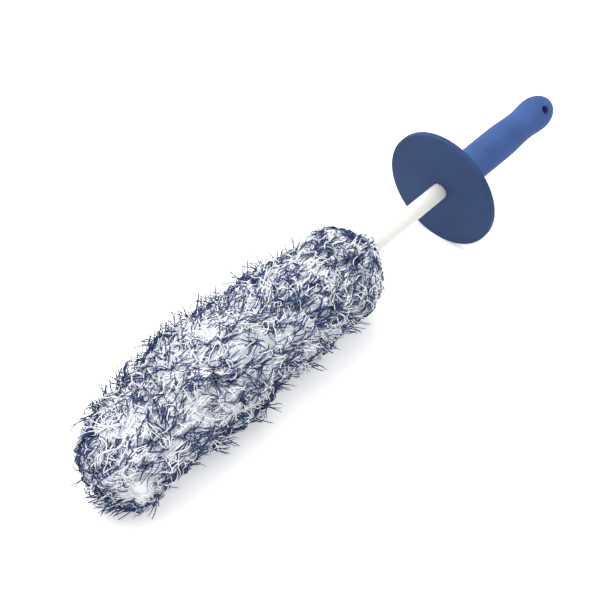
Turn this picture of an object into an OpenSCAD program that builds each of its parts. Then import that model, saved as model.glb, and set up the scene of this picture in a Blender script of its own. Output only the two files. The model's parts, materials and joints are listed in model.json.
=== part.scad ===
// Wheel brush: a fibre head on a plastic rod, a sliding splash guard and a foam grip.
// It lies on a flat surface with its long axis along X and the head's tip towards -X,
// resting on the guard's rim and on the flattened underside of the head.
// Each piece is drawn upright and then laid down: z = 0 is the guard's front face,
// +z runs to the head's tip, and +x is the side that faces up once it is laid down.

/* [Rod] */
// Diameter of the plastic rod
rod_d = 12; // [9:0.5:15]
// Bare rod between the guard and the head
bare_rod = 78; // [55:1:90]
// Depth of the ring grooves that lock the grip to the rod
groove_depth = 0.6; // [0.2:0.1:1]
// Width of each ring groove
groove_w = 3; // [1:0.5:4]
// Distance from one ring groove to the next
groove_pitch = 22; // [12:1:24]

/* [Hand guard] */
// Diameter of the foam guard disc
guard_d = 90; // [80:1:120]
// Thickness of the guard disc
guard_t = 5; // [4:0.5:10]
// Rounding of the guard's rim
guard_edge_r = 0.8; // [0.3:0.1:1.5]
// Radial clearance between the guard's hole and the rod
guard_clearance = 0.05; // [0.02:0.01:0.09]
// Gap between the guard and the grip when the guard is fully back
guard_gap = 0.2; // [0.1:0.1:2]

/* [Grip] */
// Length of the foam grip
grip_len = 124; // [112:1:160]
// Diameter at the grip's front end
grip_front_d = 24.8; // [22:0.2:28]
// Diameter at the swell under the palm
grip_swell_d = 25.6; // [24:0.2:32]
// Distance from the front end to the swell
grip_swell_at = 62; // [45:1:62]
// Diameter at the waist before the end bulb
grip_waist_d = 23.4; // [21:0.2:28]
// Distance from the front end to the waist
grip_waist_at = 89; // [74:1:90]
// Diameter of the end bulb
grip_bulb_d = 25.8; // [24:0.2:32]
// Length of the rounded end past the bulb's widest point
grip_end_len = 18; // [14:1:20]
// Rounding of the front edge
grip_edge_r = 1.2; // [0.4:0.2:2]
// Radial gap that the glue fills between the rod and the grip's blind bore
glue_gap = 0.05; // [0.02:0.01:0.2]

/* [Hanging hole] */
// Diameter of the hanging hole
hole_d = 6.5; // [4:0.5:8]
// Distance from the grip's end to the hole's axis
hole_from_end = 17; // [17:1:24]
// Turn of the hole's axis about the rod, away from upright
hole_roll = 45; // [0:5:90]
// Foam left between the hole and the end of the rod
hole_land = 8; // [3:1:12]

/* [Head] */
// Length of the fibre head
head_len = 242; // [200:1:330]
// Diameter over the fibre pile
pile_d = 70; // [60:1:80]
// Diameter of the head's end at the guard side
base_d = 22; // [20:1:26]
// Length over which the head widens from that end
base_taper = 36; // [30:1:70]
// Fullness of that widening: 1 is a cone, more is rounder
base_fullness = 2; // [1:0.1:3]
// Length of the rounded tip
tip_len = 35; // [30:1:50]
// Depth of the pile ahead of the cover at the tip
tip_pile = 15; // [10:1:20]
// Depth by which the pile is pressed flat where the head rests
rest_squash = 2; // [1:0.5:4]

/* [Foam core] */
// Diameter of the foam padding
pad_d = 34; // [28:1:42]
// Length of the cone at the start of the padding
cone_len = 12; // [8:1:20]
// Foam ahead of the rod's cap
tip_foam = 20; // [12:1:26]
// Wall of the rubber cap on the rod's end
cap_wall = 2.5; // [1:0.5:4]
// Length of rod that the cap covers
cap_cover = 14; // [8:1:20]

/* [Cover] */
// Thickness of the knitted backing cloth
backing_t = 1.2; // [0.8:0.1:2]
// Thickness of the folded hem
hem_t = 2.2; // [1.6:0.1:2.6]
// Width of the hem along the rod
hem_len = 4.2; // [3.2:0.2:6]
// How far the hem shows ahead of the pile
hem_lead = 1; // [1:0.5:3]
// Diameter of the tie cord
tie_d = 1.2; // [0.8:0.1:1.4]
// Turns of the tie cord
tie_turns = 4; // [2:1:6]
// Diameter of the sewing thread
thread_d = 0.8; // [0.5:0.1:1]
// Length of one seam stitch
stitch_len = 3.2; // [2:0.2:4]
// Distance from one stitch to the next
stitch_pitch = 6.5; // [5:0.5:10]
// Stitches in the ring that gathers the cover at the tip
tip_stitches = 8; // [4:1:9]
// Diameter of the small gap in the middle of that ring
tip_gather_d = 3; // [2.6:0.2:4]
// Length of each stitch in that ring
tip_stitch_len = 3; // [2:0.5:5]
// Gap round the thread and cord of the cover
thread_gap = 0.02; // [0.01:0.01:0.05]

/* [Hidden] */
$fn = 96;

EVA_BLUE = [0.31, 0.42, 0.66];
GUARD_BLUE = [0.27, 0.34, 0.50];
ROD_WHITE = [0.93, 0.92, 0.89];
FOAM_GREY = [0.80, 0.80, 0.78];
RUBBER_GREY = [0.32, 0.33, 0.35];
CLOTH_WHITE = [0.88, 0.89, 0.91];
THREAD_NAVY = [0.16, 0.22, 0.42];
PILE_WHITE = [0.85, 0.87, 0.92];

overlap = 1;
outline_step = 2;
arc_steps = 12;

rod_r = rod_d / 2;
guard_r = guard_d / 2;
pile_r = pile_d / 2;
base_r = base_d / 2;
pad_r = pad_d / 2;
bulb_r = grip_bulb_d / 2;
hole_r = hole_d / 2;
bore_r = rod_r + glue_gap;
cap_r = rod_r + cap_wall;
backing_r = pad_r + backing_t;

// Stations along the rod, from the grip's end to the head's tip
grip_front_z = -guard_t - guard_gap;
grip_end_z = grip_front_z - grip_len;
bulb_z = grip_end_z + grip_end_len;
hole_z = grip_end_z + hole_from_end;
rod_back_z = hole_z + hole_r + hole_land;
hem_z = bare_rod - hem_lead;
neck_z = hem_z + hem_len;
tie_pitch = tie_d + thread_gap;
tie_first_z = neck_z + tie_pitch;
cone_z = tie_first_z + tie_turns * tie_pitch;
tube_z = cone_z + cone_len;
tip_z = bare_rod + head_len;
tip_centre_z = tip_z - tip_len;
backing_pole_z = tip_z - tip_pile;
foam_pole_z = backing_pole_z - backing_t;
dome_z = foam_pole_z - pad_r;
rod_end_z = foam_pole_z - tip_foam - cap_wall;
cap_z = rod_end_z - cap_cover;

// The hem, the tie and the neck of the cover sit in one pocket of the pile
neck_r = rod_r + backing_t;
tie_r = neck_r + thread_gap + tie_d / 2;
pocket_r = max(rod_r + hem_t, tie_r + tie_d / 2) + thread_gap;
seam_r = backing_r + thread_gap + thread_d / 2;
seam_slot_depth = thread_d + 2 * thread_gap;
seam_slot_w = 2 * thread_d;
seam_room = dome_z - tube_z;
seam_stitches = floor(seam_room / stitch_pitch);
tip_gather_r = tip_gather_d / 2;

// The brush tilts until the head's pile is pressed against the floor by rest_squash
tilt = asin((guard_r - pile_r + rest_squash) / tip_centre_z);
axis_h = (guard_r - guard_edge_r) * cos(tilt) + guard_edge_r * (1 - sin(tilt));

// Half-length along X of a tilted half-ellipsoid, used to centre the brush on the origin
function reach(long_r, round_r) =
    sqrt(pow(long_r * cos(tilt), 2) + pow(round_r * sin(tilt), 2));
low_x = -tip_centre_z * cos(tilt) - reach(tip_len, pile_r);
high_x = -bulb_z * cos(tilt) + reach(grip_end_len, bulb_r);
shift_x = -(low_x + high_x) / 2;

// Eased value from a to b, level at both ends
function ease(a, b, t) = a + (b - a) * (1 - cos(180 * t)) / 2;

// Points of a quarter ellipse from its widest point to its pole, towards +y or -y
function quarter(centre_y, round_r, long_r) = [
    for (i = [0 : arc_steps])
        let (a = 90 * i / arc_steps)
        [i == arc_steps ? 0 : round_r * cos(a), centre_y + long_r * sin(a)]
];

// Points of an eased stretch of outline from one station to the next, without the last
function stretch(z0, r0, z1, r1) =
    let (count = ceil(abs(z1 - z0) / outline_step))
    [for (i = [0 : count - 1]) [ease(r0, r1, i / count), z0 + (z1 - z0) * i / count]];

// Lays an upright piece down on the floor
module laid_down() {
    translate([shift_x, 0, axis_h])
        rotate([0, -90 - tilt, 0])
            children();
}

// A ring or disc with rounded rims, from z = 0 up
module rounded_disc(r, t, edge) {
    rotate_extrude() {
        square([r - edge, t]);
        translate([0, edge])
            square([r, t - 2 * edge]);
        for (y = [edge, t - edge])
            translate([r - edge, y])
                circle(r = edge);
    }
}

// A solid round bar from z0 to z1
module bar(r, z0, z1) {
    translate([0, 0, z0])
        cylinder(r = r, h = z1 - z0);
}

// The cover's shape on the padding and the rod, thickened by t
module sleeve_shape(t) {
    rotate_extrude()
        polygon(concat(
            [[0, neck_z], [rod_r + t, neck_z], [rod_r + t, cone_z], [pad_r + t, tube_z]],
            quarter(dome_z, pad_r + t, pad_r + t)
        ));
}

// The rubber cap's outside: a bar with a rounded end
module cap_shape() {
    bar(cap_r, cap_z, rod_end_z);
    translate([0, 0, rod_end_z])
        rotate_extrude()
            intersection() {
                union() {
                    square([rod_r, cap_wall]);
                    translate([rod_r, 0])
                        circle(r = cap_wall);
                }
                square([cap_r, cap_wall]);
            }
}

module core_rod() {
    color(ROD_WHITE)
        laid_down()
            difference() {
                bar(rod_r, rod_back_z, rod_end_z);
                for (z = [rod_back_z + groove_w : groove_pitch : grip_front_z - 2 * groove_w])
                    difference() {
                        bar(rod_r + overlap, z, z + groove_w);
                        bar(rod_r - groove_depth, z - overlap, z + groove_w + overlap);
                    }
            }
}

module grip_shape() {
    front_r = grip_front_d / 2;
    swell_z = grip_front_z - grip_swell_at;
    waist_z = grip_front_z - grip_waist_at;
    edge_z = grip_front_z - grip_edge_r;
    rotate_extrude()
        polygon(concat(
            [[0, grip_front_z]],
            [for (i = [arc_steps : -1 : 1])
                let (a = 90 * i / arc_steps)
                [front_r - grip_edge_r * (1 - cos(a)), edge_z + grip_edge_r * sin(a)]],
            stretch(edge_z, front_r, swell_z, grip_swell_d / 2),
            stretch(swell_z, grip_swell_d / 2, waist_z, grip_waist_d / 2),
            stretch(waist_z, grip_waist_d / 2, bulb_z, bulb_r),
            quarter(bulb_z, bulb_r, -grip_end_len)
        ));
}

module grip() {
    color(EVA_BLUE)
        laid_down()
            difference() {
                grip_shape();
                bar(bore_r, rod_back_z, grip_front_z + overlap);
                translate([0, 0, hole_z])
                    rotate([0, 0, -hole_roll])
                        rotate([0, 90, 0])
                            cylinder(r = hole_r, h = grip_bulb_d + 2 * overlap, center = true);
            }
}

module hand_guard() {
    color(GUARD_BLUE)
        laid_down()
            translate([0, 0, -guard_t])
                difference() {
                    rounded_disc(guard_r, guard_t, guard_edge_r);
                    bar(rod_r + guard_clearance, -overlap, guard_t + overlap);
                }
}

module padding_tube() {
    color(FOAM_GREY)
        laid_down()
            rotate_extrude()
                polygon([
                    [rod_r, cone_z], [pad_r, tube_z], [pad_r, cap_z], [rod_r, cap_z]
                ]);
}

module tip_pad() {
    color(FOAM_GREY)
        laid_down()
            difference() {
                rotate_extrude()
                    polygon(concat(
                        [[0, cap_z], [pad_r, cap_z]],
                        quarter(dome_z, pad_r, pad_r)
                    ));
                cap_shape();
            }
}

module rod_tip_cap() {
    color(RUBBER_GREY)
        laid_down()
            difference() {
                cap_shape();
                bar(rod_r, cap_z - overlap, rod_end_z);
            }
}

module cover_backing() {
    color(CLOTH_WHITE)
        laid_down()
            difference() {
                sleeve_shape(backing_t);
                sleeve_shape(0);
                bar(rod_r, neck_z - overlap, cone_z);
            }
}

module cover_hem() {
    color(CLOTH_WHITE)
        laid_down()
            rotate_extrude() {
                translate([rod_r, hem_z + hem_t / 2])
                    square([hem_t, hem_len - hem_t]);
                for (z = [hem_z + hem_t / 2, neck_z - hem_t / 2])
                    translate([rod_r + hem_t / 2, z])
                        circle(d = hem_t);
            }
}

module neck_tie() {
    color(THREAD_NAVY)
        laid_down()
            rotate_extrude()
                for (i = [0 : tie_turns - 1])
                    translate([tie_r, tie_first_z + i * tie_pitch])
                        circle(d = tie_d);
}

module side_seam_thread() {
    color(THREAD_NAVY)
        laid_down()
            for (i = [0 : seam_stitches - 1])
                translate([-seam_r, 0, tube_z + i * stitch_pitch])
                    cylinder(d = thread_d, h = stitch_len);
}

module tip_seam_thread() {
    color(THREAD_NAVY)
        laid_down()
            for (i = [0 : tip_stitches - 1])
                rotate([0, 0, 360 * i / tip_stitches])
                    translate([tip_gather_r, 0, backing_pole_z + thread_gap + thread_d / 2])
                        rotate([0, 90, 0])
                            cylinder(d = thread_d, h = tip_stitch_len);
}

// The pile's outside, before the floor presses it flat
module pile_shape() {
    count = ceil(base_taper / outline_step);
    rotate_extrude()
        polygon(concat(
            [[0, bare_rod]],
            [for (i = [0 : count])
                let (t = i / count)
                [base_r + (pile_r - base_r) * (1 - pow(1 - t, base_fullness)),
                 bare_rod + base_taper * t]],
            quarter(tip_centre_z, pile_r, tip_len)
        ));
}

module pile() {
    color(PILE_WHITE)
        intersection() {
            laid_down()
                difference() {
                    pile_shape();
                    sleeve_shape(backing_t);
                    bar(pocket_r, bare_rod - overlap, cone_z);
                    translate([-backing_r - seam_slot_depth, -seam_slot_w / 2, tube_z])
                        cube([seam_slot_depth + overlap, seam_slot_w, seam_room]);
                    bar(tip_gather_r + tip_stitch_len + thread_d / 2, dome_z,
                        backing_pole_z + seam_slot_depth);
                }
            translate([-tip_z, -pile_d, 0])
                cube([2 * tip_z, 2 * pile_d, guard_d + pile_d]);
        }
}

core_rod();
grip();
hand_guard();
padding_tube();
tip_pad();
rod_tip_cap();
cover_backing();
cover_hem();
neck_tie();
side_seam_thread();
tip_seam_thread();
pile();
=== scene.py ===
"""A wheel brush lying on a pale floor: foam grip and guard, plastic rod, and a head of
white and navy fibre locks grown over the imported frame."""
import json
import math

import bpy
import numpy as np
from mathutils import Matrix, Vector


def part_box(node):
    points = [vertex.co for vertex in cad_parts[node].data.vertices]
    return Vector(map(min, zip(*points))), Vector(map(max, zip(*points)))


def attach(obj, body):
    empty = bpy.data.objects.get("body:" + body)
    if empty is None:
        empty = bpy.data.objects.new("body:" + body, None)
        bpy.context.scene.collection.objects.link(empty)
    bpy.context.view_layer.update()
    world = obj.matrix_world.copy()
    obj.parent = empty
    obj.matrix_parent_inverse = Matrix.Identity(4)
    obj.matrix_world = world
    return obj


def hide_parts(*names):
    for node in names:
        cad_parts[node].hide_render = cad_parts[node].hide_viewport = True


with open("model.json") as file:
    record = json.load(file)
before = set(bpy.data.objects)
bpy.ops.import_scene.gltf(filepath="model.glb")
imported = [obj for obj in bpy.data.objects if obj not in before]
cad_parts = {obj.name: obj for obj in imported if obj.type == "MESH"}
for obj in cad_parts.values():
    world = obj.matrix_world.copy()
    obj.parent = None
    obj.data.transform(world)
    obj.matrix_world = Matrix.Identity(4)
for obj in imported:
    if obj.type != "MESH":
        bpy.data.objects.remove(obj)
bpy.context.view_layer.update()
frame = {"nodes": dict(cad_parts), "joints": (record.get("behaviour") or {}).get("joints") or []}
nodes = frame["nodes"]

MM = 0.001
UP = np.array([0.0, 0.0, 1.0])
FULL_TURN = 2 * math.pi
TINY = 1e-6
rng = np.random.default_rng(20)

# ---------------------------------------------------------------- the frame's measures
tip_dir = np.array(frame["joints"][0]["axis"], float)
tip_dir /= np.linalg.norm(tip_dir)
side_dir = np.array([0.0, 1.0, 0.0])
head_up = np.cross(side_dir, tip_dir)
tilt = math.asin(-tip_dir[2])

guard_low, guard_high = (np.array(c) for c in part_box("hand_guard"))
pile_low, pile_high = (np.array(c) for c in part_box("pile"))
rod_low, rod_high = (np.array(c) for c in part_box("core_rod"))
guard_r = (guard_high[1] - guard_low[1]) / 2
guard_t = (guard_high[0] - guard_low[0] - 2 * guard_r * math.sin(tilt)) / math.cos(tilt)
front_centre = (guard_low + guard_high) / 2 + tip_dir * guard_t / 2
rod_r = (rod_high[1] - rod_low[1]) / 2
pile_r = (pile_high[1] - pile_low[1]) / 2


def along(x):
    """How far along the rod, from the guard's front face towards the tip, x lies."""
    return (front_centre[0] - x) / math.cos(tilt)


head_start = along(pile_high[0])
head_end = along(pile_low[0])

# ---------------------------------------------------------------- camera
CAMERA_AZIMUTH = math.radians(-46.19)
CAMERA_ELEVATION = math.radians(47.64)
CAMERA_DISTANCE = 0.829
CAMERA_LENS = 67.41
# the view's centre, left of and below the floor's point under the guard's front face
AIM_RIGHT = -0.0989
AIM_UP = -0.0470


def make_camera():
    cos_e = math.cos(CAMERA_ELEVATION)
    back = np.array([
        math.sin(CAMERA_AZIMUTH) * cos_e,
        -math.cos(CAMERA_AZIMUTH) * cos_e,
        math.sin(CAMERA_ELEVATION),
    ])
    right = np.cross(UP, back)
    right /= np.linalg.norm(right)
    above = np.cross(back, right)
    under_guard = front_centre * [1, 1, 0]
    place = under_guard + AIM_RIGHT * right + AIM_UP * above + CAMERA_DISTANCE * back
    data = bpy.data.cameras.new("camera")
    data.lens = CAMERA_LENS
    data.sensor_width = 36.0
    data.clip_start = 0.01
    data.clip_end = 20.0
    camera = bpy.data.objects.new("camera", data)
    camera.location = place
    camera.rotation_mode = "QUATERNION"
    camera.rotation_quaternion = Vector(-back).to_track_quat("-Z", "Y")
    bpy.context.scene.collection.objects.link(camera)
    bpy.context.scene.camera = camera


# ---------------------------------------------------------------- material tools
def new_material(name, colour, roughness, **sockets):
    """A material whose constants are set on the shader's own sockets."""
    material = bpy.data.materials.new(name)
    material.use_nodes = True
    shader = material.node_tree.nodes["Principled BSDF"]
    shader.inputs["Base Color"].default_value = (*colour, 1.0)
    shader.inputs["Roughness"].default_value = roughness
    for socket, value in sockets.items():
        shader.inputs[socket.replace("_", " ")].default_value = value
    material.diffuse_color = (*colour, 1.0)
    return material


def add_node(material, kind, **settings):
    """A shader node; each setting goes to the socket or the property of that name."""
    node = material.node_tree.nodes.new(kind)
    for name, value in settings.items():
        if name in node.inputs:
            node.inputs[name].default_value = value
        else:
            setattr(node, name, value)
    return node


def link(material, source, target):
    material.node_tree.links.new(source, target)


def set_input(material, output, socket):
    """Feeds one of the material's shader sockets."""
    link(material, output, material.node_tree.nodes["Principled BSDF"].inputs[socket])


def object_coordinates(material, scale=(1.0, 1.0, 1.0)):
    coordinates = add_node(material, "ShaderNodeTexCoord")
    mapping = add_node(material, "ShaderNodeMapping", Scale=scale)
    link(material, coordinates.outputs["Object"], mapping.inputs["Vector"])
    return mapping.outputs["Vector"]


def noise(material, vector, scale, detail=3.0, roughness=0.55):
    node = add_node(
        material, "ShaderNodeTexNoise", Scale=scale, Detail=detail, Roughness=roughness
    )
    link(material, vector, node.inputs["Vector"])
    return node.outputs["Fac"]


def ramp(material, factor, *stops):
    """A colour ramp of (position, colour) stops."""
    node = add_node(material, "ShaderNodeValToRGB")
    elements = node.color_ramp.elements
    while len(elements) < len(stops):
        elements.new(0.5)
    for element, (position, colour) in zip(elements, stops):
        element.position = position
        element.color = (*colour, 1.0)
    link(material, factor, node.inputs["Fac"])
    return node.outputs["Color"]


def grey(value):
    return (value, value, value)


def set_bump(material, height, distance, strength, after=None):
    """Bumps the shader's normal, on top of an earlier bump if one is given."""
    node = add_node(material, "ShaderNodeBump", Distance=distance, Strength=strength)
    link(material, height, node.inputs["Height"])
    if after:
        link(material, after, node.inputs["Normal"])
    set_input(material, node.outputs["Normal"], "Normal")
    return node.outputs["Normal"]


def between(dark, light):
    return tuple((a + b) / 2 for a, b in zip(dark, light))


# ---------------------------------------------------------------- materials
def foam_material(name, dark, light, grain, pore_depth, sheen=0.02):
    """Closed-cell foam: fine grain, slow changes of shade and small pores."""
    middle = between(dark, light)
    material = new_material(name, middle, 0.8, Specular_IOR_Level=0.18, Sheen_Weight=sheen)
    vector = object_coordinates(material)
    patches = noise(material, vector, 38.0, 4.0)
    fine = noise(material, vector, grain, 2.0, 0.7)
    mixed = add_node(material, "ShaderNodeMath", operation="MULTIPLY_ADD")
    fine_share = 0.45
    mixed.inputs[1].default_value = fine_share
    link(material, fine, mixed.inputs[0])
    link(material, patches, mixed.inputs[2])
    shade = ramp(material, mixed.outputs[0], (0.45, dark), (0.72, middle), (0.98, light))
    set_input(material, shade, "Base Color")
    dull = ramp(material, patches, (0.3, grey(0.72)), (0.7, grey(0.88)))
    set_input(material, dull, "Roughness")
    pores = add_node(material, "ShaderNodeTexVoronoi", Scale=grain * 0.8)
    link(material, vector, pores.inputs["Vector"])
    cells = set_bump(material, pores.outputs["Distance"], pore_depth, 0.5)
    set_bump(material, fine, pore_depth, 0.6, after=cells)
    return material


def rod_material():
    """Milky plastic with faint drawing marks along it."""
    material = new_material(
        "milky_plastic", (0.595, 0.585, 0.565), 0.5, Specular_IOR_Level=0.15,
        Subsurface_Weight=1.0, Subsurface_Scale=1.0, Subsurface_Radius=(0.02, 0.02, 0.019),
    )
    along_rod = (12.0, 420.0, 420.0)
    marks = noise(material, object_coordinates(material, along_rod), 1.0, 3.0)
    shade = ramp(material, marks, (0.3, (0.575, 0.565, 0.545)), (0.75, (0.615, 0.605, 0.585)))
    set_input(material, shade, "Base Color")
    dull = ramp(material, marks, (0.3, grey(0.42)), (0.7, grey(0.55)))
    set_input(material, dull, "Roughness")
    set_bump(material, marks, 0.00004, 0.4)
    return material


def fibre_material(name, dark, light, sheen, roughness=0.62):
    """Fine fibre whose shade changes from lock to lock."""
    middle = between(dark, light)
    material = new_material(
        name, middle, roughness, Specular_IOR_Level=0.3, Sheen_Weight=sheen,
        Sheen_Roughness=0.4,
    )
    vector = object_coordinates(material)
    locks = noise(material, vector, 190.0, 3.0, 0.6)
    shade = ramp(material, locks, (0.32, dark), (0.5, middle), (0.7, light))
    set_input(material, shade, "Base Color")
    strands = noise(material, vector, 2200.0, 1.0)
    set_bump(material, strands, 0.00008, 0.4)
    return material


def cloth_material():
    """The pile's own white ground: dense fibre tips with a combed grain."""
    material = new_material(
        "white_ground", (0.84, 0.86, 0.91), 0.85, Specular_IOR_Level=0.15, Sheen_Weight=0.35,
        Sheen_Roughness=0.5,
    )
    vector = object_coordinates(material)
    tufts = noise(material, vector, 420.0, 4.0, 0.7)
    shade = ramp(material, tufts, (0.3, (0.83, 0.885, 0.97)), (0.62, (0.95, 0.963, 0.988)))
    set_input(material, shade, "Base Color")
    fine = noise(material, vector, 1600.0, 3.0, 0.7)
    deep = set_bump(material, tufts, 0.0008, 0.6)
    set_bump(material, fine, 0.0003, 0.7, after=deep)
    return material


def assign(node, material):
    """Gives a CAD node this material alone."""
    mesh = nodes[node].data
    mesh.materials.clear()
    mesh.materials.append(material)


# ---------------------------------------------------------------- the head's shape, in mm
HEAD_START = head_start / MM
HEAD_END = head_end / MM
PILE_R = pile_r / MM
ROD_R = rod_r / MM
front_mm = front_centre / MM

# the white ground: a round neck that fills out to the full radius, then a domed tip
NECK_R = 10.0
BASE_START = HEAD_START + 5.0
GROUND_R = PILE_R - 3.8
TAPER = 28.0
FULLNESS = 0.72
TIP_CENTRE = HEAD_END - GROUND_R - 3.0

# the centre line arches up and towards +Y, then droops and sways to -Y near the tip
ARCH = 1.2
ARCH_DIR = 0.45 * UP + 0.89 * side_dir
DROOP = 12.0
SWAY = 7.0
DROOP_FROM = HEAD_END - 90.0

# strands are pressed onto the floor, and end beside the bare rod
FLOOR_GAP = 0.4
FLOOR_SOFT = 3.0
BASE_LIMIT = HEAD_START + 1.0
BASE_SOFT = 4.0
BASE_FLARE = 5.0
FLARE_FROM = 10.0

# small pillows, drawn out along the head, and long waves under them
PILLOWS = 240
PILLOW_HEIGHT = 2.7
PILLOW_LEVEL = 0.6
PILLOW_EDGE = 6.0
PILLOW_STRETCH = 0.6
WAVE_HEIGHT = 1.2
WAVE_LENGTH = 60.0
NECK_LUMPS = 0.15


def radial(turn):
    """Unit directions at right angles to the rod, by their turn from the top towards +Y."""
    return np.cos(turn)[..., None] * head_up + np.sin(turn)[..., None] * side_dir


def place_along(points):
    return (points - front_mm) @ tip_dir


def waves(points, size, seed, count=9):
    """Smooth noise from -1 to 1 or so: a sum of plane waves about size mm long."""
    local = np.random.default_rng(seed)
    directions = local.normal(size=(count, 3))
    directions /= np.linalg.norm(directions, axis=1)[:, None]
    lengths = size * local.uniform(0.7, 1.5, count)
    phases = local.uniform(0, FULL_TURN, count)
    angles = points @ (directions * (FULL_TURN / lengths)[:, None]).T + phases
    return np.sin(angles).sum(axis=-1) / math.sqrt(count * 0.8)


def spine(s):
    """Points on the head's centre line, which droops and sways towards the tip."""
    past = np.clip((s - DROOP_FROM) / (HEAD_END - DROOP_FROM), 0, 1) ** 2
    bent = DROOP * UP + SWAY * side_dir
    middle = np.clip((s - BASE_START) / (TIP_CENTRE - BASE_START), 0, 1)
    raised = ARCH * np.sin(math.pi * middle)[..., None] * ARCH_DIR
    return front_mm + s[..., None] * tip_dir - past[..., None] * bent + raised


def smooth_radius(s):
    t = np.clip((s - BASE_START) / TAPER, 0, 1)
    return NECK_R + (GROUND_R - NECK_R) * (1 - (1 - t) ** 2) ** FULLNESS


def nearest_spine(points):
    """(point on the spine, unit direction out, place along) for each point."""
    s = np.clip(place_along(points), BASE_START, TIP_CENTRE)
    centre = spine(s)
    out = points - centre
    out /= np.maximum(np.linalg.norm(out, axis=-1), TINY)[..., None]
    return centre, out, s


def drawn_out(points):
    """Points squeezed along the head, so that what is even among them is long on the head."""
    return points - ((1 - PILLOW_STRETCH) * place_along(points))[..., None] * tip_dir


def spread_seeds(count, seed):
    """Squeezed points, spread evenly over the smooth head."""
    local = np.random.default_rng(seed)
    many = count * 14
    s = local.uniform(HEAD_START, HEAD_END, many)
    around = radial(local.uniform(0, FULL_TURN, many))
    share = local.uniform(0.05, 1, many)[:, None]
    inside = front_mm + s[:, None] * tip_dir + around * GROUND_R * share
    centre, out, place = nearest_spine(inside)
    spots = drawn_out(centre + out * smooth_radius(place)[:, None])
    chosen = [0]
    gap = np.linalg.norm(spots - spots[0], axis=1)
    for _ in range(count - 1):
        farthest = int(np.argmax(gap * (1 - 0.25 * local.random(many))))
        chosen.append(farthest)
        gap = np.minimum(gap, np.linalg.norm(spots - spots[farthest], axis=1))
    return spots[chosen]


pillow_seeds = spread_seeds(PILLOWS, 5)


def pillow(points):
    """0 in the valleys between pillows, rising to 1 on top of them."""
    flat = drawn_out(points.reshape(-1, 3))
    result = np.empty(len(flat))
    batch = 20000
    for start in range(0, len(flat), batch):
        part = flat[start:start + batch]
        gaps = np.linalg.norm(part[:, None, :] - pillow_seeds[None], axis=2)
        two = np.partition(gaps, 1, axis=1)[:, :2]
        t = np.clip((two[:, 1] - two[:, 0]) / PILLOW_EDGE, 0, 1)
        result[start:start + batch] = t * (2 - t)
    return result.reshape(points.shape[:-1])


# broad swells of the head: place along, turn from the top towards +Y, height and reach
SWELLS = (
    (163.0, 59.0, 1.0, 10.0), (198.0, 59.0, 2.0, 12.0), (209.0, 59.0, 2.0, 8.0),
    (226.0, 59.0, 2.0, 12.0), (237.0, 59.0, 3.0, 10.0), (276.0, 59.0, -2.0, 8.0),
    (288.0, 62.0, 2.5, 10.0), (303.0, 59.0, -5.0, 9.0), (318.0, 59.0, -3.0, 12.0),
    (92.0, 59.0, -15.0, 10.0), (107.0, 59.0, -4.0, 12.0), (121.0, 59.0, -4.0, 10.0),
    (108.0, 239.0, 1.5, 10.0), (126.0, 239.0, -2.0, 12.0), (146.0, 239.0, 2.0, 9.0),
    (158.0, 239.0, 1.0, 8.0), (175.0, 239.0, 2.0, 9.0), (197.0, 239.0, 3.0, 9.0),
    (214.0, 239.0, 3.0, 14.0), (255.0, 239.0, 3.0, 8.0), (272.0, 239.0, -1.5, 16.0),
    (287.0, 239.0, -7.0, 9.0), (310.0, 225.0, 4.5, 18.0), (323.0, 239.0, -4.0, 8.0),
    (118.0, 350.0, 2.0, 18.0), (176.0, 330.0, 2.5, 20.0), (246.0, 335.0, 2.5, 20.0),
    (120.0, 150.0, 2.0, 20.0), (190.0, 130.0, 2.0, 22.0), (255.0, 140.0, 2.5, 22.0),
)


def swells(points):
    """Height of the broad swells at each point of the smooth head."""
    total = np.zeros(points.shape[:-1])
    for place, turn, height, reach in SWELLS:
        centre = front_mm + place * tip_dir + GROUND_R * radial(np.radians(turn))
        gap = np.linalg.norm(points - centre, axis=-1)
        total += height * np.exp(-(gap / reach) ** 2)
    return total


def surface(points, height):
    """Moves points to the given height above the head's lumpy surface."""
    centre, out, s = nearest_spine(points)
    radius = smooth_radius(s)
    smooth = centre + out * radius[..., None]
    full = np.clip((s - BASE_START) / TAPER, NECK_LUMPS, 1)
    lumps = PILLOW_HEIGHT * (pillow(smooth) - PILLOW_LEVEL)
    lumps = lumps + WAVE_HEIGHT * waves(smooth, WAVE_LENGTH, 3)
    lumps = lumps + swells(smooth)
    placed = centre + out * (radius + full * lumps + height)[..., None]
    return placed, out


def off_the_floor(points, lift=0.0):
    """Presses what would go through the floor down onto it, more gently as it nears."""
    z = points[..., 2] - lift - FLOOR_GAP
    near = FLOOR_SOFT * np.exp((np.minimum(z, FLOOR_SOFT) - FLOOR_SOFT) / FLOOR_SOFT)
    points[..., 2] = np.where(z > FLOOR_SOFT, z, near) + lift + FLOOR_GAP
    return points


def off_the_rod(points, clear=0.5):
    """Keeps strands outside the rod, and stops them short of the bare rod: soonest beside
    the rod, and later farther out, where the pile flares towards the guard."""
    s = place_along(points)
    axis = front_mm + s[..., None] * tip_dir
    out = points - axis
    gap = np.linalg.norm(out, axis=-1)
    limit = BASE_LIMIT - BASE_FLARE * np.clip((gap - FLARE_FROM) / FLARE_FROM, 0, 1)
    short = np.minimum(s, limit)
    stopped = limit - BASE_SOFT * (1 - np.exp((short - limit) / BASE_SOFT))
    moved = np.where(s < limit, stopped - s, 0.0)
    wanted = np.maximum(gap, ROD_R + clear)
    outside = axis + out * (wanted / np.maximum(gap, TINY))[..., None]
    return outside + moved[..., None] * tip_dir


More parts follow.
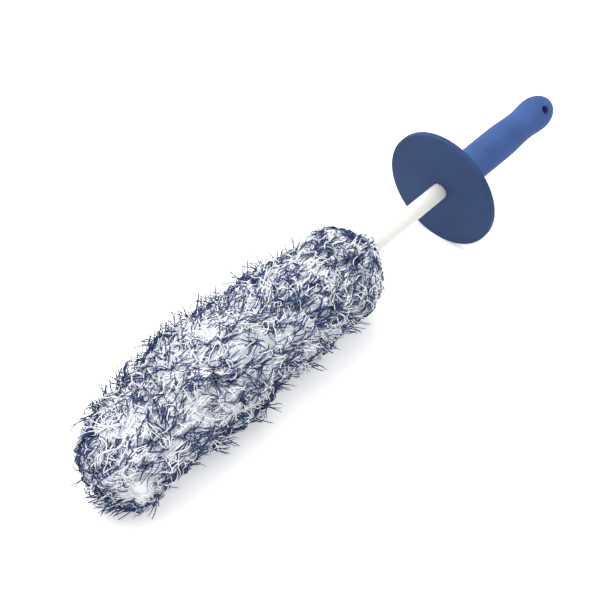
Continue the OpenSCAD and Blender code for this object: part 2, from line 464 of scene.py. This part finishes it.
# ---------------------------------------------------------------- meshes
def mesh_object(name, vertices, loops, starts, material):
    """A smooth mesh from vertices in mm and its faces' corners; it rides the brush."""
    mesh = bpy.data.meshes.new(name)
    mesh.vertices.add(len(vertices))
    mesh.vertices.foreach_set("co", (vertices * MM).astype(np.float32).ravel())
    mesh.loops.add(len(loops))
    mesh.loops.foreach_set("vertex_index", loops.astype(np.int32))
    mesh.polygons.add(len(starts))
    mesh.polygons.foreach_set("loop_start", starts.astype(np.int32))
    mesh.update(calc_edges=True)
    mesh.validate()
    mesh.polygons.foreach_set("use_smooth", np.ones(len(starts), bool))
    mesh.materials.append(material)
    piece = bpy.data.objects.new(name, mesh)
    bpy.context.scene.collection.objects.link(piece)
    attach(piece, "brush")
    return piece


GROUND_RINGS = 300
GROUND_AROUND = 220
GROUND_LEVEL = -1.0
GROUND_CLEAR = 0.2
NECK_WRAP = 0.9
# how far out a direction is tried; surface() then sets the real distance
GROUND_REACH = 20.0
ROOT_REACH = 30.0


def ground_points():
    """Rings of points on the ground, from the neck's mouth to the tip's pole."""
    total = TIP_CENTRE - BASE_START
    dome = GROUND_R * math.pi / 2
    neck = NECK_R * math.pi / 2 * NECK_WRAP
    path = np.linspace(-neck, total + dome, GROUND_RINGS)
    s = np.clip(path, 0, total) + BASE_START
    bend = np.where(
        path < 0, path / NECK_R, np.where(path > total, (path - total) / GROUND_R, 0)
    )
    ring_dir = radial(np.linspace(0, FULL_TURN, GROUND_AROUND, endpoint=False))
    out = (
        np.cos(bend)[:, None, None] * ring_dir[None]
        + np.sin(bend)[:, None, None] * tip_dir[None, None]
    )
    centre = spine(s)[:, None, :] + np.zeros((1, GROUND_AROUND, 1))
    level = np.full((GROUND_RINGS, GROUND_AROUND), GROUND_LEVEL)
    points, _ = surface(centre + out * GROUND_REACH, level)
    points[-1] = points[-1].mean(axis=0)
    return off_the_floor(off_the_rod(points, GROUND_CLEAR))


def ground_mesh():
    """The lumpy white body that the locks grow from: rings of quads, and a fan at the tip."""
    points = ground_points()
    around = GROUND_AROUND
    vertices = points[:-1].reshape(-1, 3)
    pole = len(vertices)
    vertices = np.vstack([vertices, points[-1][:1]])
    i, j = np.meshgrid(np.arange(GROUND_RINGS - 2), np.arange(around), indexing="ij")
    k = (j + 1) % around
    low, high = i * around, (i + 1) * around
    quads = np.stack([low + j, low + k, high + k, high + j], -1).reshape(-1, 4)
    last = (GROUND_RINGS - 2) * around
    j = np.arange(around)
    fan = np.stack([last + j, last + (j + 1) % around, np.full(around, pole)], -1)
    loops = np.concatenate([quads.ravel(), fan.ravel()])
    starts = np.concatenate([np.arange(len(quads)) * 4, len(quads) * 4 + np.arange(around) * 3])
    return vertices, loops, starts


TUBE_SIDES = 3


def tube_pattern(steps, per):
    """Face corners and starts of one tube: a blunt root, quads along it and a pointed tip."""
    faces = [[0, 2, 1]]
    quads = []
    for k in range(steps - 2):
        for side in range(TUBE_SIDES):
            a = TUBE_SIDES * k + side
            b = TUBE_SIDES * k + (side + 1) % TUBE_SIDES
            quads.append([a, b, b + TUBE_SIDES, a + TUBE_SIDES])
    last = TUBE_SIDES * (steps - 2)
    for side in range(TUBE_SIDES):
        faces.append([last + side, last + (side + 1) % TUBE_SIDES, per - 1])
    corners = np.concatenate([np.ravel(quads), np.ravel(faces)])
    starts = np.concatenate([
        np.arange(len(quads)) * 4, len(quads) * 4 + np.arange(len(faces)) * 3
    ])
    return corners, starts


def tubes(paths, normals, radii):
    """Three-sided tapered tubes along paths (strands, steps, 3). Returns vertices, loops, starts."""
    count, steps = paths.shape[:2]
    forward = np.gradient(paths, axis=1)
    forward /= np.maximum(np.linalg.norm(forward, axis=2), TINY)[..., None]
    across = np.cross(forward, normals)
    across /= np.maximum(np.linalg.norm(across, axis=2), TINY)[..., None]
    raised = np.cross(across, forward)
    rings = []
    for side in range(TUBE_SIDES):
        a = FULL_TURN * side / TUBE_SIDES + math.pi / 6
        rings.append(
            paths[:, :-1] + radii[:, :-1, None]
            * (math.cos(a) * across[:, :-1] + math.sin(a) * raised[:, :-1])
        )
    body = np.stack(rings, axis=2).reshape(count, -1, 3)
    vertices = np.concatenate([body, paths[:, -1:]], axis=1)
    per = vertices.shape[1]
    pattern, pattern_starts = tube_pattern(steps, per)
    loops = (pattern[None] + per * np.arange(count)[:, None]).ravel()
    starts = (pattern_starts[None] + len(pattern) * np.arange(count)[:, None]).ravel()
    return vertices.reshape(-1, 3), loops, starts


# ---------------------------------------------------------------- locks of fibre
STEPS = 9
# more strands on the neck than its size would give
NECK_EXTRA = 0.5
NECK_LENGTH = 10
PATCH_SIZE = 40.0
FLOW_SIZE = 52.0
FACING_SIZE = 110.0
FLOW_TURN_BASE = 0.15
FLOW_TURN_TIP = 1.1
LIFT = 0.4


def random_surface_points(count, patchy=0.0, seed=0):
    """Points spread at random over the head, thinned where it narrows and, by patchy, in
    patches about 40 mm across."""
    found = []
    need = count
    while need > 0:
        s = rng.uniform(BASE_START - NECK_R, TIP_CENTRE + GROUND_R, need * 2)
        on_neck = s < BASE_START + NECK_LENGTH
        keep_share = np.minimum(smooth_radius(s) / GROUND_R + NECK_EXTRA * on_neck, 1)
        tip = np.clip((s - TIP_CENTRE) / GROUND_R, 0, 1)
        around = radial(rng.uniform(0, FULL_TURN, need * 2))
        ring = np.sqrt(1 - tip**2)
        start = spine(np.minimum(s, TIP_CENTRE))
        points = start + ROOT_REACH * (around * ring[:, None] + tip_dir * tip[:, None])
        low = s < BASE_START
        back = ((s[low] - BASE_START) / NECK_R)[:, None]
        points[low] = (
            front_mm + BASE_START * tip_dir + ROOT_REACH * (around[low] + tip_dir * back)
        )
        thin = np.clip(0.5 - waves(points, PATCH_SIZE, seed), 0, 1)
        keep_share = keep_share * (1 - patchy * thin)
        kept = points[rng.random(len(points)) < keep_share][:need]
        found.append(kept)
        need -= len(kept)
    return np.concatenate(found)


def spot_points(spots, scatter=4.5):
    """Points scattered about set spots: place along, turn from the top towards +Y, count."""
    counts = [spot[2] for spot in spots]
    places = np.repeat([spot[0] for spot in spots], counts)
    turns = np.radians(np.repeat([spot[1] for spot in spots], counts))
    middle = front_mm + places[:, None] * tip_dir + GROUND_R * radial(turns)
    return middle + rng.normal(0, scatter, middle.shape)


def local_frame(out):
    """Unit directions along the head towards the tip, and across, at right angles to out."""
    across = np.cross(out, tip_dir + 0.01 * head_up)
    across /= np.maximum(np.linalg.norm(across, axis=1), TINY)[:, None]
    return np.cross(across, out), across


def flow(points, seed):
    """The way the pile lies: along the head, turning slowly from place to place."""
    facing = waves(points, FACING_SIZE, seed + 50) + rng.normal(0, 0.5, len(points)) > 0
    t = np.clip((place_along(points) - BASE_START) / (HEAD_END - BASE_START), 0, 1)
    turning = FLOW_TURN_BASE + FLOW_TURN_TIP * t**2
    return np.where(facing, math.pi, 0.0) + turning * waves(points, FLOW_SIZE, seed)


def walk(points, out, direction, lengths, turns):
    """Walks strands over the surface while they turn. Returns paths and side directions."""
    path = [points]
    sides = [np.cross(out, direction)]
    step = turns / (STEPS - 1)
    for _ in range(STEPS - 1):
        direction = direction - (direction * out).sum(axis=1)[:, None] * out
        direction /= np.linalg.norm(direction, axis=1)[:, None]
        across = np.cross(out, direction)
        direction = np.cos(step)[:, None] * direction + np.sin(step)[:, None] * across
        points = points + direction * (lengths / (STEPS - 1))[:, None]
        points, out = surface(points, np.zeros(len(points)))
        path.append(points)
        sides.append(np.cross(out, direction))
    return np.stack(path, axis=1), np.stack(sides, axis=1)


def side_waves(curl, count, t):
    """How far each strand swings to the side along it."""
    size = rng.normal(0, curl, count)[:, None]
    turns = rng.uniform(0.4, 1.3, count)[:, None]
    start = rng.uniform(0, FULL_TURN, count)[:, None]
    return size * np.sin(FULL_TURN * (t * turns) + start)


def strand_heights(heights, owner, groups, t):
    """Each strand's height along it: a curve from its root's, over its middle's, to its tip's."""
    root, middle, tip = (rng.uniform(*limits, len(owner))[:, None] for limits in heights)
    lift = rng.normal(0, LIFT, groups)[owner][:, None]
    bow = 2 * (middle + lift) - (root + tip) / 2
    return (1 - t) ** 2 * root + 2 * t * (1 - t) * bow + t**2 * tip


def grow(*, per_group, spread, length, bend, fan, heights, curl, radius, taper, seed,
         groups=0, patchy=0.0, aim=0.45, spots=None, heading=None):
    """Strands in groups that share a root and a heading. Their roots are at random over the
    head, or about set spots. Lengths are in mm, angles in radians, and heights are the
    (root, middle, tip) ranges above the surface. Returns paths, normals and radii."""
    roots = spot_points(spots) if spots else random_surface_points(groups, patchy, seed)
    groups = len(roots)
    owner = np.repeat(np.arange(groups), rng.integers(per_group[0], per_group[1] + 1, groups))
    count = len(owner)
    lie = flow(roots, seed) if heading is None else np.full(groups, heading)
    group_heading = lie + rng.normal(0, aim, groups)
    group_turn = rng.normal(0, bend, groups)
    group_fan = rng.choice(fan, groups)
    group_size = rng.uniform(0.75, 1.2, groups)
    roots, out = surface(roots, np.zeros(groups))
    forward, across = local_frame(out)
    offset = rng.normal(0, spread, (count, 2)) * group_size[owner][:, None]
    points = roots[owner] + offset[:, :1] * forward[owner] + offset[:, 1:] * across[owner]
    points, out = surface(points, np.zeros(count))
    headings = group_heading[owner] + rng.normal(0, 1, count) * group_fan[owner]
    forward, across = local_frame(out)
    direction = np.cos(headings)[:, None] * forward + np.sin(headings)[:, None] * across
    lengths = rng.uniform(*length, count) * group_size[owner]
    turns = group_turn[owner] + rng.normal(0, 0.5 * bend, count)
    path, sides = walk(points, out, direction, lengths, turns)
    t = np.linspace(0, 1, STEPS)[None]
    path = path + sides * side_waves(curl, count, t)[..., None]
    path, out = surface(path, strand_heights(heights, owner, groups, t))
    radii = rng.uniform(*radius, count)[:, None] * (1 - taper * t**2)
    return off_the_rod(path), out, radii


def make_pieces(name, strands, material, parts):
    """Joins the strands into a few pieces, cut along the head's length."""
    paths, normals, radii = strands
    paths = off_the_floor(paths, radii.max())
    place = place_along(paths.mean(axis=1))
    order = np.argsort(place, kind="stable")
    for index, chosen in enumerate(np.array_split(order, parts)):
        piece = mesh_object(
            f"{name}_{index + 1:02d}",
            *tubes(paths[chosen], normals[chosen], radii[chosen]),
            material,
        )
        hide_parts("pile")


# places of the tufts that stand out: place along, turn from the top towards +Y, groups
OUTLINE_TUFTS = (
    (127, 59, 1), (140, 55, 2), (154, 59, 4), (163, 62, 3), (176, 60, 1), (189, 59, 3),
    (204, 60, 4), (211, 57, 4), (231, 60, 4), (237, 59, 5), (250, 58, 2), (262, 60, 5),
    (268, 55, 3), (282, 60, 1), (288, 60, 5), (292, 46, 3),
    (132, 239, 2), (168, 238, 2), (196, 240, 2), (222, 239, 4), (250, 238, 3), (270, 240, 1),
    (120, 330, 2), (160, 300, 3), (185, 350, 4), (215, 310, 3), (240, 335, 4), (270, 300, 3),
    (140, 120, 4), (180, 150, 4), (220, 110, 4), (260, 140, 4), (200, 20, 4), (245, 10, 4),
)
TIP_TUFTS = (
    (298, 239, 2), (308, 240, 3), (314, 234, 3), (316, 222, 2), (319, 208, 2), (325, 190, 2),
    (324, 250, 2), (318, 150, 3), (322, 320, 2),
)
BASE_TUFTS = (
    (88, 59, 2), (88, 20, 2), (88, 100, 2), (92, 140, 3), (92, 190, 3), (90, 235, 5),
    (90, 250, 4), (90, 275, 3), (90, 310, 2), (88, 340, 2), (94, 240, 3),
)
TOWARDS_TIP = 0.0
TOWARDS_GUARD = math.pi


def make_head_ground(ground):
    head_ground = mesh_object("head_ground", *ground_mesh(), ground)
    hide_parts("pile")


def make_white_locks(white):
    """The pile's main white locks, and the loose curls on top of them."""
    locks = grow(
        groups=1200, per_group=(5, 9), spread=2.0, length=(8.0, 15.0), bend=0.5,
        fan=(0.12, 0.25), heights=((-1.2, -0.6), (-0.2, 0.7), (-0.9, 0.8)), curl=0.4,
        radius=(0.42, 0.60), taper=0.4, seed=11, aim=0.35,
    )
    make_pieces("white_locks", locks, white, 6)
    curls = grow(
        groups=850, per_group=(1, 3), spread=1.4, length=(7.0, 15.0), bend=1.5,
        fan=(0.4, 1.0), heights=((-0.6, 0.4), (1.2, 2.8), (0.6, 4.8)), curl=0.9,
        radius=(0.34, 0.44), taper=0.35, seed=17,
    )
    make_pieces("white_curls", curls, white, 2)


def make_navy_locks(navy):
    """Navy strands among the white ones, in small locks and one by one."""
    locks = grow(
        groups=600, per_group=(2, 5), spread=1.5, length=(8.0, 16.0), bend=0.6,
        fan=(0.12, 0.2, 0.2, 0.3, 0.3, 0.7),
        heights=((-0.4, 0.4), (0.9, 2.2), (0.6, 4.2)), curl=0.45,
        radius=(0.33, 0.43), taper=0.3, seed=11, patchy=0.6, aim=0.3,
    )
    make_pieces("navy_locks", locks, navy, 2)
    strands = grow(
        groups=1450, per_group=(1, 2), spread=1.0, length=(8.0, 17.0), bend=0.8,
        fan=(0.2, 0.5), heights=((-0.4, 0.5), (1.0, 2.6), (0.5, 4.6)), curl=0.55,
        radius=(0.32, 0.42), taper=0.3, seed=11, patchy=0.3, aim=0.4,
    )
    make_pieces("navy_strands", strands, navy, 2)


def make_tufts(navy, white):
    """Tufts that stand out from the head: on its outline, at its tip and at its base."""
    outline = grow(
        spots=OUTLINE_TUFTS, per_group=(2, 5), spread=1.6, length=(9.0, 15.0), bend=0.4,
        fan=(0.25, 0.5), heights=((-0.5, 0.5), (3.5, 6.5), (7.0, 13.5)), curl=0.4,
        radius=(0.31, 0.40), taper=0.3, seed=11,
    )
    make_pieces("navy_tufts", outline, navy, 1)
    tip = grow(
        spots=TIP_TUFTS, per_group=(2, 4), spread=1.6, length=(8.0, 13.0), bend=0.4,
        fan=(0.3, 0.6), heights=((-0.5, 0.5), (3.0, 5.5), (6.0, 12.0)), curl=0.4,
        radius=(0.33, 0.43), taper=0.3, seed=11, aim=0.7, heading=TOWARDS_TIP,
    )
    make_pieces("tip_tufts", tip, navy, 1)
    base = grow(
        spots=BASE_TUFTS, per_group=(3, 6), spread=1.4, length=(7.0, 12.0), bend=0.4,
        fan=(0.25, 0.5), heights=((-0.5, 0.5), (2.0, 3.5), (3.5, 7.0)), curl=0.4,
        radius=(0.31, 0.40), taper=0.3, seed=11, aim=0.3, heading=TOWARDS_GUARD,
    )
    make_pieces("base_tufts", base, navy, 1)
    pale = grow(
        groups=130, per_group=(3, 6), spread=1.1, length=(8.0, 14.0), bend=0.6,
        fan=(0.2, 0.5), heights=((-0.5, 0.5), (2.0, 3.8), (3.5, 6.5)), curl=0.6,
        radius=(0.30, 0.38), taper=0.35, seed=11,
    )
    make_pieces("white_tufts", pale, white, 1)


# ---------------------------------------------------------------- floor and light
FLOOR_HALF = 6.0


def make_floor():
    """A plain pale floor that glows slightly, as a brightly lit sweep does."""
    mesh = bpy.data.meshes.new("floor")
    half = FLOOR_HALF
    corners = [(-half, -half, 0), (half, -half, 0), (half, half, 0), (-half, half, 0)]
    mesh.from_pydata(corners, [], [(0, 1, 2, 3)])
    floor = bpy.data.objects.new("floor", mesh)
    bpy.context.scene.collection.objects.link(floor)
    mesh.materials.append(new_material(
        "floor_white", (0.90, 0.90, 0.90), 0.9, Specular_IOR_Level=0.1,
        Emission_Color=(1.0, 1.0, 1.0, 1.0), Emission_Strength=0.30,
    ))


def area_light(name, place, size, power):
    """A square lamp aimed at the brush's middle."""
    data = bpy.data.lights.new(name, "AREA")
    data.shape = "SQUARE"
    data.size = size
    data.energy = power
    lamp = bpy.data.objects.new(name, data)
    lamp.location = place
    lamp.rotation_mode = "QUATERNION"
    lamp.rotation_quaternion = (-Vector(place)).to_track_quat("-Z", "Y")
    bpy.context.scene.collection.objects.link(lamp)


def make_light():
    world = bpy.data.worlds.new("studio")
    world.use_nodes = True
    background = world.node_tree.nodes["Background"]
    background.inputs["Color"].default_value = (1.0, 1.0, 1.0, 1.0)
    background.inputs["Strength"].default_value = 0.80
    bpy.context.scene.world = world
    area_light("key", (0.15, 0.75, 1.3), 1.3, 17.5)
    area_light("top", (-0.2, 0.0, 1.6), 1.8, 12.7)


# ---------------------------------------------------------------- build
def dress_rod_and_foams():
    assign("core_rod", rod_material())
    assign("grip", foam_material(
        "blue_foam", (0.030, 0.068, 0.202), (0.054, 0.111, 0.298), 1500.0, 0.00018
    ))
    # the guard's colour is darker and greyer than the grip's: partly the foam's own greyer blue,
    # partly painted shade for its front face, which is turned away from the lamps
    assign("hand_guard", foam_material(
        "guard_foam_with_painted_shade", (0.017, 0.040, 0.108), (0.027, 0.058, 0.150), 1500.0, 0.00018, 0.04
    ))
    core_foam = foam_material(
        "core_foam", (0.50, 0.50, 0.48), (0.70, 0.70, 0.67), 700.0, 0.0004
    )
    assign("padding_tube", core_foam)
    assign("tip_pad", core_foam)
    assign("rod_tip_cap", foam_material(
        "cap_rubber", (0.03, 0.03, 0.032), (0.06, 0.06, 0.062), 1800.0, 0.00004
    ))


bpy.context.scene.view_settings.view_transform = "Standard"
make_camera()
make_floor()
make_light()
dress_rod_and_foams()

white = fibre_material("white_fibre", (0.87, 0.91, 0.978), (0.955, 0.967, 0.992), 0.3)
navy = fibre_material("navy_fibre", (0.005, 0.015, 0.058), (0.034, 0.078, 0.245), 0.02, 0.55)
ground = cloth_material()
assign("cover_backing", ground)
assign("cover_hem", ground)
for thread in ("neck_tie", "side_seam_thread", "tip_seam_thread"):
    assign(thread, navy)

make_head_ground(ground)
make_white_locks(white)
make_navy_locks(navy)
make_tufts(navy, white)
